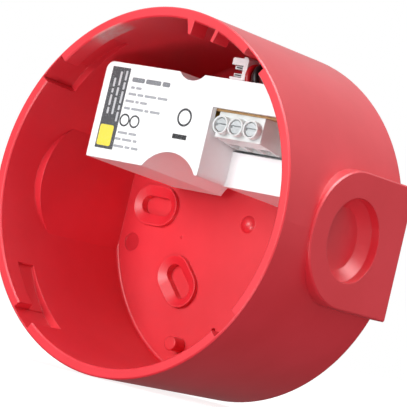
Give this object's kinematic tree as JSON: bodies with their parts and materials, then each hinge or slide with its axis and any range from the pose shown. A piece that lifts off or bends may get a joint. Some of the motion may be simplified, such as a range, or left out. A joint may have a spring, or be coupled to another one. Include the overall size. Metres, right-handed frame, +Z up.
{
  "type": "fire alarm sounder base",
  "caption": "Deep round red wall base of a fire alarm sounder, open at the front, with a white mains power module inside, knock-out conduit pads and bayonet notches.",
  "frame": {"origin": "centre of the back face, where the base meets the wall", "axes": "+Z up, +Y into the wall, so the open front faces -Y, +X to the right seen from the front"},
  "size_m": [0.1012, 0.0525, 0.1],
  "materials": {
    "red_plastic": "gloss moulded",
    "white_plastic": "gloss moulded",
    "label_film": "printed polyester film",
    "board": "paper phenolic laminate",
    "ferrite": "ground ferrite",
    "winding": "taped winding",
    "film_capacitor": "epoxy box",
    "can_sleeve": "sleeved can",
    "black_epoxy": "moulded epoxy",
    "fuse_case": "moulded",
    "varistor_coat": "dipped epoxy",
    "terminal_nylon": "translucent nylon",
    "plated_steel": "zinc plated",
    "clamp_brass": "nickel plated",
    "red_pvc": "PVC insulation",
    "black_pvc": "PVC insulation"
  },
  "bodies": {
    "base": {"base_shell": "red_plastic", "module_tray": "white_plastic", "circuit_board": "board", "transformer_core": "ferrite", "transformer_coil": "winding", "filter_capacitor": "film_capacitor", "reservoir_capacitor": "can_sleeve", "output_capacitor": "can_sleeve", "rectifier": "black_epoxy", "fuse": "fuse_case", "varistor": "varistor_coat", "choke": "ferrite", "regulator": "black_epoxy", "terminal_body": "terminal_nylon", "terminal_contacts": "plated_steel", "output_plug": "white_plastic", "plug_contacts": "plated_steel", "lead_red": "red_pvc", "lead_black": "black_pvc", "tray_screws": "plated_steel"},
    "cover": {"module_cover": "white_plastic", "module_label": "label_film"},
    "screw_1": {"terminal_screw_1": "plated_steel"},
    "screw_2": {"terminal_screw_2": "plated_steel"},
    "screw_3": {"terminal_screw_3": "plated_steel"},
    "clamp_1": {"wire_clamp_1": "clamp_brass"},
    "clamp_2": {"wire_clamp_2": "clamp_brass"},
    "clamp_3": {"wire_clamp_3": "clamp_brass"}
  },
  "joints": [
    {"name": "cover_lift", "type": "slide", "parent": "base", "child": "cover", "axis": [0, -1, 0], "range_m": [0, 0.06]},
    {"name": "screw_turn_1", "type": "hinge", "parent": "base", "child": "screw_1", "pos_m": [0.01442, -0.04, 0.0222], "axis": [0, 1, 0], "range_deg": [0, 1656]},
    {"name": "screw_turn_2", "type": "hinge", "parent": "base", "child": "screw_2", "pos_m": [0.0195, -0.04, 0.0222], "axis": [0, 1, 0], "range_deg": [0, 1656]},
    {"name": "screw_turn_3", "type": "hinge", "parent": "base", "child": "screw_3", "pos_m": [0.02458, -0.04, 0.0222], "axis": [0, 1, 0], "range_deg": [0, 1656]},
    {"name": "clamp_rise_1", "type": "slide", "parent": "base", "child": "clamp_1", "axis": [0, -1, 0], "range_m": [0, 0.0023]},
    {"name": "clamp_rise_2", "type": "slide", "parent": "base", "child": "clamp_2", "axis": [0, -1, 0], "range_m": [0, 0.0023]},
    {"name": "clamp_rise_3", "type": "slide", "parent": "base", "child": "clamp_3", "axis": [0, -1, 0], "range_m": [0, 0.0023]}
  ],
  "couplings": [
    {"joint": "screw_turn_1", "follows": "clamp_rise_1", "rad_per_m": 12566},
    {"joint": "screw_turn_2", "follows": "clamp_rise_2", "rad_per_m": 12566},
    {"joint": "screw_turn_3", "follows": "clamp_rise_3", "rad_per_m": 12566}
  ]
}
